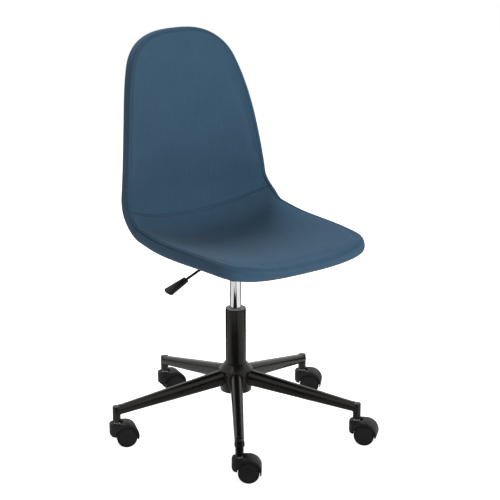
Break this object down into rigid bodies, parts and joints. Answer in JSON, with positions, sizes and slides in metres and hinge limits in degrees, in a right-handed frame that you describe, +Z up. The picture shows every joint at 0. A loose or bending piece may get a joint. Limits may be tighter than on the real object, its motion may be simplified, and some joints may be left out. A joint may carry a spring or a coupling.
{
  "type": "swivel office chair",
  "caption": "Upholstered bucket seat chair on a height-adjustable swivelling gas lift with a star base on twin-wheel casters.",
  "frame": {"origin": "on the floor, in the middle of the footprint", "axes": "+Z up; the sitter faces -Y, so -X is the sitter's right, where the release lever is"},
  "size_m": [0.6515, 0.6267, 0.9668],
  "materials": {
    "painted_steel": "satin gloss black paint",
    "black_nylon": "moulded satin black nylon",
    "bright_steel": "bright zinc plated",
    "chrome": "polished chrome",
    "pale_nylon": "moulded pale grey nylon",
    "shell_plastic": "moulded black polypropylene",
    "blue_fabric": "woven blue-teal upholstery over foam"
  },
  "bodies": {
    "base": {"base_hub": "painted_steel", "leg_1": "painted_steel", "leg_2": "painted_steel", "leg_3": "painted_steel", "leg_4": "painted_steel", "leg_5": "painted_steel", "leg_socket_1": "painted_steel", "leg_socket_2": "painted_steel", "leg_socket_3": "painted_steel", "leg_socket_4": "painted_steel", "leg_socket_5": "painted_steel", "caster_stem_1": "bright_steel", "caster_stem_2": "bright_steel", "caster_stem_3": "bright_steel", "caster_stem_4": "bright_steel", "caster_stem_5": "bright_steel", "column_tube": "painted_steel", "guide_bush": "pale_nylon", "bearing_race": "bright_steel"},
    "rod": {"piston_rod": "bright_steel", "bearing_cage": "bright_steel", "rod_clip": "bright_steel"},
    "seat": {"gas_cylinder": "chrome", "taper_socket": "painted_steel", "mechanism_box": "painted_steel", "seat_plate": "painted_steel", "plate_screw_1": "bright_steel", "plate_screw_2": "bright_steel", "plate_screw_3": "bright_steel", "plate_screw_4": "bright_steel", "pivot_pin": "bright_steel", "seat_shell": "shell_plastic", "seat_pad": "blue_fabric", "back_pad": "blue_fabric", "outer_cover": "blue_fabric"},
    "lever": {"lever_rod": "painted_steel", "lever_paddle": "black_nylon", "lever_bush": "black_nylon"},
    "pin": {"release_pin": "bright_steel"},
    "caster_1": {"caster_hood_1": "black_nylon", "caster_axle_1": "bright_steel"},
    "wheel_1_left": {"wheel_1_left": "black_nylon"},
    "wheel_1_right": {"wheel_1_right": "black_nylon"},
    "caster_2": {"caster_hood_2": "black_nylon", "caster_axle_2": "bright_steel"},
    "wheel_2_left": {"wheel_2_left": "black_nylon"},
    "wheel_2_right": {"wheel_2_right": "black_nylon"},
    "caster_3": {"caster_hood_3": "black_nylon", "caster_axle_3": "bright_steel"},
    "wheel_3_left": {"wheel_3_left": "black_nylon"},
    "wheel_3_right": {"wheel_3_right": "black_nylon"},
    "caster_4": {"caster_hood_4": "black_nylon", "caster_axle_4": "bright_steel"},
    "wheel_4_left": {"wheel_4_left": "black_nylon"},
    "wheel_4_right": {"wheel_4_right": "black_nylon"},
    "caster_5": {"caster_hood_5": "black_nylon", "caster_axle_5": "bright_steel"},
    "wheel_5_left": {"wheel_5_left": "black_nylon"},
    "wheel_5_right": {"wheel_5_right": "black_nylon"}
  },
  "joints": [
    {"name": "seat_swivel", "type": "hinge", "parent": "base", "child": "rod", "pos_m": [-0.0115, -0.016, 0.118], "axis": [0, 0, 1], "continuous": true},
    {"name": "seat_lift", "type": "slide", "parent": "rod", "child": "seat", "axis": [0, 0, 1], "range_m": [-0.07, 0.04]},
    {"name": "release_lever", "type": "hinge", "parent": "seat", "child": "lever", "pos_m": [-0.0395, -0.016, 0.4222], "axis": [0, 1, 0], "range_deg": [0, 6], "stiffness_Nm_per_rad": 2},
    {"name": "release_pin", "type": "slide", "parent": "seat", "child": "pin", "axis": [0, 0, -1], "range_m": [0, 0.0031]},
    {"name": "caster_swivel_1", "type": "hinge", "parent": "base", "child": "caster_1", "pos_m": [0.27688, 0.0833, 0.054], "axis": [0, 0, 1], "continuous": true},
    {"name": "wheel_spin_1_left", "type": "hinge", "parent": "caster_1", "child": "wheel_1_left", "pos_m": [0.29235, 0.06836, 0.025], "axis": [0.6947, 0.7193, 0], "continuous": true},
    {"name": "wheel_spin_1_right", "type": "hinge", "parent": "caster_1", "child": "wheel_1_right", "pos_m": [0.29235, 0.06836, 0.025], "axis": [0.6947, 0.7193, 0], "continuous": true},
    {"name": "caster_swivel_2", "type": "hinge", "parent": "base", "child": "caster_2", "pos_m": [-0.01682, 0.28895, 0.054], "axis": [0, 0, 1], "continuous": true},
    {"name": "wheel_spin_2_left", "type": "hinge", "parent": "caster_2", "child": "wheel_2_left", "pos_m": [0.00421, 0.28448, 0.025], "axis": [0.2079, 0.9781, 0], "continuous": true},
    {"name": "wheel_spin_2_right", "type": "hinge", "parent": "caster_2", "child": "wheel_2_right", "pos_m": [0.00421, 0.28448, 0.025], "axis": [0.2079, 0.9781, 0], "continuous": true},
    {"name": "caster_swivel_3", "type": "hinge", "parent": "base", "child": "caster_3", "pos_m": [-0.30317, 0.07317, 0.054], "axis": [0, 0, 1], "continuous": true},
    {"name": "wheel_spin_3_left", "type": "hinge", "parent": "caster_3", "child": "wheel_3_left", "pos_m": [-0.28338, 0.06477, 0.025], "axis": [0.3907, 0.9205, 0], "continuous": true},
    {"name": "wheel_spin_3_right", "type": "hinge", "parent": "caster_3", "child": "wheel_3_right", "pos_m": [-0.28338, 0.06477, 0.025], "axis": [0.3907, 0.9205, 0], "continuous": true},
    {"name": "caster_swivel_4", "type": "hinge", "parent": "base", "child": "caster_4", "pos_m": [-0.18644, -0.26584, 0.054], "axis": [0, 0, 1], "continuous": true},
    {"name": "wheel_spin_4_left", "type": "hinge", "parent": "caster_4", "child": "wheel_4_left", "pos_m": [-0.1695, -0.27908, 0.025], "axis": [0.6157, 0.788, 0], "continuous": true},
    {"name": "wheel_spin_4_right", "type": "hinge", "parent": "caster_4", "child": "wheel_4_right", "pos_m": [-0.1695, -0.27908, 0.025], "axis": [0.6157, 0.788, 0], "continuous": true},
    {"name": "caster_swivel_5", "type": "hinge", "parent": "base", "child": "caster_5", "pos_m": [0.17205, -0.25958, 0.054], "axis": [0, 0, 1], "continuous": true},
    {"name": "wheel_spin_5_left", "type": "hinge", "parent": "caster_5", "child": "wheel_5_left", "pos_m": [0.18587, -0.27605, 0.025], "axis": [0.766, 0.6428, 0], "continuous": true},
    {"name": "wheel_spin_5_right", "type": "hinge", "parent": "caster_5", "child": "wheel_5_right", "pos_m": [0.18587, -0.27605, 0.025], "axis": [0.766, 0.6428, 0], "continuous": true}
  ],
  "couplings": [
    {"joint": "release_pin", "follows": "release_lever", "m_per_rad": 0.0295}
  ]
}
